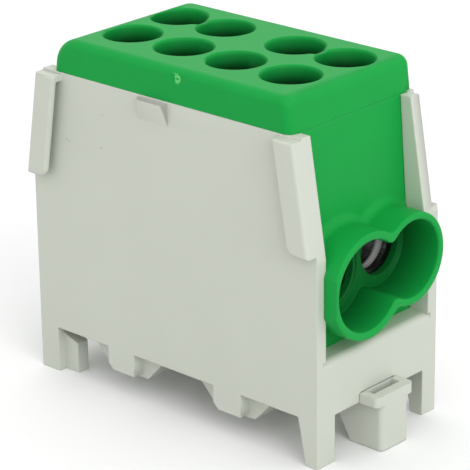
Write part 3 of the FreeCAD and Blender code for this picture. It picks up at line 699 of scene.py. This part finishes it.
def make_skin_and_edge_highlight():
    """Cloudy colour, a painted highlight on the edges and a fine grain."""
    group, given, result = new_group(
        "skin_and_edge_highlight",
        [
            ("Colour", "NodeSocketColor", (0.5, 0.5, 0.5, 1.0)),
            ("Edge Highlight Colour", "NodeSocketColor", (0.8, 0.8, 0.8, 1.0)),
            ("Edge Highlight Amount", "NodeSocketFloat", 0.3),
            ("Cloud Amount", "NodeSocketFloat", 0.05),
            ("Roughness", "NodeSocketFloat", 0.5),
            ("Grain Scale", "NodeSocketFloat", 3000.0),
            ("Grain Depth", "NodeSocketFloat", 0.1),
        ],
        [("Colour", "NodeSocketColor"), ("Roughness", "NodeSocketFloat"), ("Normal", "NodeSocketVector")],
    )
    place = object_place(group)
    cloud = noise(group, place, CLOUD_SCALE, CLOUD_DETAIL)
    shift = ramp(group, cloud, 0.0, 1.0, -1.0, 1.0)
    shade = math_node(group, "MULTIPLY_ADD", shift, given["Cloud Amount"], 1.0)
    cloudy = vector_math(group, "SCALE", given["Colour"], shade)

    rounded = group.nodes.new("ShaderNodeBevel")
    rounded.samples = EDGE_SAMPLES
    rounded.inputs["Radius"].default_value = EDGE_RADIUS
    true_normal = group.nodes.new("ShaderNodeNewGeometry").outputs["Normal"]
    facing = vector_math(group, "DOT_PRODUCT", rounded.outputs["Normal"], true_normal)
    # Painted highlight: the edges that the bevel finds get a paler colour.
    edge = ramp(group, facing, EDGE_HIGHLIGHT_STARTS, EDGE_HIGHLIGHT_FULL, 0.0, 1.0)
    amount = math_node(group, "MULTIPLY", edge, given["Edge Highlight Amount"])
    feed(group, result["Colour"], blend(group, amount, cloudy, given["Edge Highlight Colour"]))

    grain = noise(group, place, given["Grain Scale"], GRAIN_DETAIL)
    relief = bump(group, grain, given["Grain Depth"], GRAIN_RELIEF)
    feed(group, relief.inputs["Normal"], rounded.outputs["Normal"])
    feed(group, result["Normal"], relief.outputs["Normal"])
    roughness = math_node(group, "MULTIPLY_ADD", cloud, CLOUD_ON_ROUGHNESS, given["Roughness"])
    feed(group, result["Roughness"], roughness)
    return group


skin_and_edge_highlight = make_skin_and_edge_highlight()
print("nodes in the moulded skin:", len(skin_and_edge_highlight.nodes))

# %% [markdown]
# Both plastics also carry small marks: a scratch and specks on the grey wall, and the
# spot on the green cap where the moulding's gate was cut off. Each mark is a soft ball
# around a point of the surface, broken up by a fine noise so that it isn't a drawn disc.

# %% Group: soft spot
SPOT_EDGE = (0.6, 1.4)
SPOT_BREAKS = (0.42, 0.58)
SPOT_NOISE = 2500.0


def make_soft_spot():
    """A mask that is up to 1 near a point."""
    group, given, result = new_group(
        "soft_spot",
        [("Centre", "NodeSocketVector", (0.0, 0.0, 0.0)), ("Radius", "NodeSocketFloat", MM)],
        [("Mask", "NodeSocketFloat")],
    )
    place = object_place(group)
    reach = vector_math(group, "DISTANCE", place, given["Centre"])
    near = ramp(group, math_node(group, "DIVIDE", reach, given["Radius"]), *SPOT_EDGE, 1.0, 0.0)
    broken = ramp(group, noise(group, place, SPOT_NOISE), *SPOT_BREAKS, 0.0, 1.0)
    feed(group, result["Mask"], math_node(group, "MULTIPLY", near, broken))
    return group


soft_spot = make_soft_spot()
print("nodes in the soft spot:", len(soft_spot.nodes))

# %% [markdown]
# A material takes the colour, roughness and normal of the skin. Marks and other effects
# are then put between the skin and the shader: each takes what feeds the base colour,
# changes it and feeds it on.

# %% Moulded plastic
GLOW_DEPTH = 0.5 * MM


def moulding(name, values, subsurface, glow=(1.0, 1.0, 1.0), gloss=0.4):
    """A material of moulded plastic, with its own values for the skin."""
    material, tree, shader = new_material(name)
    skin = add_group(tree, skin_and_edge_highlight, values)
    tree.links.new(skin["Colour"], shader["Base Color"])
    tree.links.new(skin["Roughness"], shader["Roughness"])
    tree.links.new(skin["Normal"], shader["Normal"])
    shader["Specular IOR Level"].default_value = gloss
    shader["Subsurface Weight"].default_value = subsurface
    shader["Subsurface Radius"].default_value = glow
    shader["Subsurface Scale"].default_value = GLOW_DEPTH
    return material


def add_marks(material, spots, colour, strength):
    """Marks in one colour; each spot is a place and a radius in millimetres."""
    tree = material.node_tree
    base_colour = tree.nodes["Principled BSDF"].inputs["Base Color"]
    mask = 0.0
    for centre, radius in spots:
        values = {"Centre": [v * MM for v in centre], "Radius": radius * MM}
        mask = math_node(tree, "MAXIMUM", mask, add_group(tree, soft_spot, values)["Mask"])
    amount = math_node(tree, "MULTIPLY", mask, strength)
    feed(tree, base_colour, blend(tree, amount, base_colour.links[0].from_socket, colour))


def dress(piece, material):
    """Puts one material on a whole piece."""
    piece.data.materials.clear()
    piece.data.materials.append(material)
    print(piece.name, "wears", material.name)


# %% [markdown]
# The base and the latch are a light grey moulding with a faint green in it, nearly matt.
# The near wall of the photographed block has one short scratch and a few faint specks.

# %% Grey mouldings
grey = moulding("grey_plastic", {
    "Colour": (0.590, 0.620, 0.545, 1.0),
    "Edge Highlight Colour": (0.74, 0.75, 0.71, 1.0),
    "Edge Highlight Amount": 0.5,
    "Cloud Amount": 0.03,
    "Roughness": 0.42,
    "Grain Scale": 4000.0,
    "Grain Depth": 0.12,
}, subsurface=0.08)
WALL_MARKS = (
    ((-15.0, -9.75, 28.15), 0.14), ((-14.7, -9.75, 28.0), 0.12), ((-14.4, -9.75, 27.87), 0.12),
    ((-9.44, -9.75, 32.03), 0.13), ((-9.77, -9.75, 28.29), 0.12))
add_marks(grey, WALL_MARKS, colour=(0.33, 0.34, 0.31, 1.0), strength=0.6)
dress(grey_base, grey)
dress(nodes["rail_latch"], grey)

# %% [markdown]
# Deep places are darker on the real block than the studio shows them, because light that
# enters the cap's holes or the tubes is soaked up there. That shade is painted: a factor on
# the green's colour, from the place on the object, falls from 1 at the top of a hole to
# almost 0 at its ledge, and from 1 at a tube's lip to less than half at its end wall. Only
# one material uses it, so it needs no group.

# %% Painted shade in holes and tubes
CAP_TOP = 39.3
HOLE_FIELD = (15.9, 7.6)
HOLE_FIELD_MIDDLE = 0.35
HOLE_PAINTED_SHADE = 0.95
MOUTH_START = 21.8
MOUTH_PAINTED_SHADE = 0.6
MOUTH_MARGIN, MOUTH_SOFTNESS = 0.45, 0.02


def object_axes(tree):
    """The place on the object as three numbers: X, Y and Z."""
    node = tree.nodes.new("ShaderNodeSeparateXYZ")
    tree.links.new(object_place(tree), node.inputs[0])
    return node.outputs


def hole_shade(tree, axes):
    """Painted shade: darker below the cap's top, inside the field of its holes."""
    along = math_node(tree, "ABSOLUTE", axes["X"])
    from_middle = math_node(tree, "SUBTRACT", axes["Y"], HOLE_FIELD_MIDDLE * MM)
    aside = math_node(tree, "ABSOLUTE", from_middle)
    in_length = math_node(tree, "LESS_THAN", along, HOLE_FIELD[0] * MM)
    in_width = math_node(tree, "LESS_THAN", aside, HOLE_FIELD[1] * MM)
    in_field = math_node(tree, "MULTIPLY", in_length, in_width)
    painted_shade = ramp(tree, axes["Z"], HOLE_LEDGE * MM, CAP_TOP * MM, HOLE_PAINTED_SHADE, 0.0)
    return math_node(tree, "SUBTRACT", 1.0, math_node(tree, "MULTIPLY", in_field, painted_shade))


def mouth_shade(tree, axes):
    """Painted shade: darker towards the end wall of the tubes, inside their two circles."""
    across = vector_math(tree, "MULTIPLY", object_place(tree), (0.0, 1.0, 1.0))
    in_mouth = 0.0
    for y, z, radius in (NEAR_MOUTH, FAR_MOUTH):
        reach = vector_math(tree, "DISTANCE", across, (0.0, y * MM, z * MM))
        rim = radius + MOUTH_MARGIN
        inside = ramp(tree, reach, (rim - MOUTH_SOFTNESS) * MM, (rim + MOUTH_SOFTNESS) * MM, 1.0, 0.0)
        in_mouth = math_node(tree, "MAXIMUM", in_mouth, inside)
    along = math_node(tree, "ABSOLUTE", axes["X"])
    painted_shade = ramp(tree, along, SEPTUM * MM, MOUTH_START * MM, MOUTH_PAINTED_SHADE, 0.0)
    return math_node(tree, "SUBTRACT", 1.0, math_node(tree, "MULTIPLY", in_mouth, painted_shade))


def paint_recess_shade(material):
    """Puts the painted shade of deep places between the skin's colour and the shader."""
    tree = material.node_tree
    base_colour = tree.nodes["Principled BSDF"].inputs["Base Color"]
    axes = object_axes(tree)
    shade = math_node(tree, "MULTIPLY", hole_shade(tree, axes), mouth_shade(tree, axes))
    feed(tree, base_colour, vector_math(tree, "SCALE", base_colour.links[0].from_socket, shade))


# %% [markdown]
# The box and the cap are a deep green, satin plastic that lets a little light in at thin
# edges. The pale spot on the near face of the cap is where the moulding's gate was cut
# off, with a few flecks above it.

# %% Green mouldings
green = moulding("green_plastic", {
    "Colour": (0.006, 0.335, 0.055, 1.0),
    "Edge Highlight Colour": (0.030, 0.520, 0.110, 1.0),
    "Edge Highlight Amount": 0.5,
    "Cloud Amount": 0.08,
    "Roughness": 0.42,
    "Grain Scale": 3500.0,
    "Grain Depth": 0.10,
}, subsurface=0.06, glow=(0.3, 1.0, 0.3), gloss=0.13)
GATE_MARKS = (
    ((1.52, -9.75, 38.24), 0.42), ((0.95, -9.75, 38.84), 0.14), ((1.20, -9.75, 38.80), 0.14),
    ((1.50, -9.75, 38.73), 0.14), ((1.80, -9.75, 38.68), 0.13))
add_marks(green, GATE_MARKS, colour=(0.22, 0.78, 0.26, 1.0), strength=0.9)
# Painted shade in the cap's holes and in the tubes.
paint_recess_shade(green)
dress(green_box, green)
dress(cap, green)

# %% [markdown]
# The block is tinned and its bores are turned; the screws and the spring are plain steel.
# A turning tool leaves fine rings, so the third group is a wave along the wires that gives
# the colour its dark grooves and the surface a small relief. Both metals use it.

# %% Group: turned rings
RING_SCALE, RING_DISTORTION = 700.0, 0.6
RING_BUMP, RING_RELIEF = 0.35, 0.03 * MM


def make_turned_rings():
    """Fine grooves across X."""
    group, given, result = new_group(
        "turned_rings",
        [("Colour", "NodeSocketColor", (0.7, 0.7, 0.7, 1.0)), ("Groove Shade", "NodeSocketFloat", 0.7)],
        [("Colour", "NodeSocketColor"), ("Normal", "NodeSocketVector")],
    )
    wave = group.nodes.new("ShaderNodeTexWave")
    wave.bands_direction = "X"
    wave.inputs["Scale"].default_value = RING_SCALE
    wave.inputs["Distortion"].default_value = RING_DISTORTION
    feed(group, wave.inputs["Vector"], object_place(group))
    depth = wave.outputs["Fac"]
    groove = vector_math(group, "SCALE", given["Colour"], given["Groove Shade"])
    feed(group, result["Colour"], blend(group, depth, given["Colour"], groove))
    feed(group, result["Normal"], bump(group, depth, RING_BUMP, RING_RELIEF).outputs["Normal"])
    return group


turned_rings = make_turned_rings()
print("nodes in the turned rings:", len(turned_rings.nodes))

# %% [markdown]
# One place on the metal shows in the photograph: the bright arc on the lower far side of
# the smaller bore, where its turned edge faces the light. A mirror of a white room stays
# too even for that, so a painted highlight is put there: the metal scatters light in a narrow band.

# %% Metals
GROOVE_SHADE = 0.72
HIGHLIGHT_STARTS, HIGHLIGHT_ENDS = (13.9, 14.1), (14.7, 14.9)
HIGHLIGHT_SIDE = (2.0, 4.0)


def metal(name, colour, roughness):
    """A metal with fine turned rings."""
    material, tree, shader = new_material(name)
    rings = add_group(tree, turned_rings, {"Colour": colour, "Groove Shade": GROOVE_SHADE})
    tree.links.new(rings["Colour"], shader["Base Color"])
    tree.links.new(rings["Normal"], shader["Normal"])
    shader["Metallic"].default_value = 1.0
    shader["Roughness"].default_value = roughness
    return material


def paint_bore_highlight(material):
    """A painted highlight: a bright band just inside the smaller bore, on its lower far side."""
    tree = material.node_tree
    axes = object_axes(tree)
    y, z, _ = FAR_BORE
    along = math_node(tree, "ABSOLUTE", axes["X"])
    front = ramp(tree, along, HIGHLIGHT_STARTS[0] * MM, HIGHLIGHT_STARTS[1] * MM, 0.0, 1.0)
    back = ramp(tree, along, HIGHLIGHT_ENDS[0] * MM, HIGHLIGHT_ENDS[1] * MM, 1.0, 0.0)
    outwards = math_node(tree, "SUBTRACT", axes["Y"], y * MM)
    upwards = math_node(tree, "SUBTRACT", axes["Z"], z * MM)
    lower_far = math_node(tree, "SUBTRACT", outwards, upwards)
    side = ramp(tree, lower_far, HIGHLIGHT_SIDE[0] * MM, HIGHLIGHT_SIDE[1] * MM, 0.0, 1.0)
    highlight_band = math_node(tree, "MULTIPLY", math_node(tree, "MULTIPLY", front, back), side)
    metallic = tree.nodes["Principled BSDF"].inputs["Metallic"]
    feed(tree, metallic, math_node(tree, "SUBTRACT", 1.0, highlight_band))


tinned = metal("tinned_metal", (0.80, 0.80, 0.80, 1.0), roughness=0.22)
# Painted highlight: a pale band in the smaller bore.
paint_bore_highlight(tinned)
dress(metal_block, tinned)
steel = metal("plain_steel", (0.62, 0.61, 0.60, 1.0), roughness=0.30)
dress(nodes["latch_spring"], steel)
for name, node in nodes.items():
    if name.startswith("clamp_screw"):
        dress(node, steel)

# %% [markdown]
# The last cell prints the box of the finished model in millimetres.

# %% Finish
low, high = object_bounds()
print("finished box in mm:", [round(v / MM, 2) for v in low], [round(v / MM, 2) for v in high])
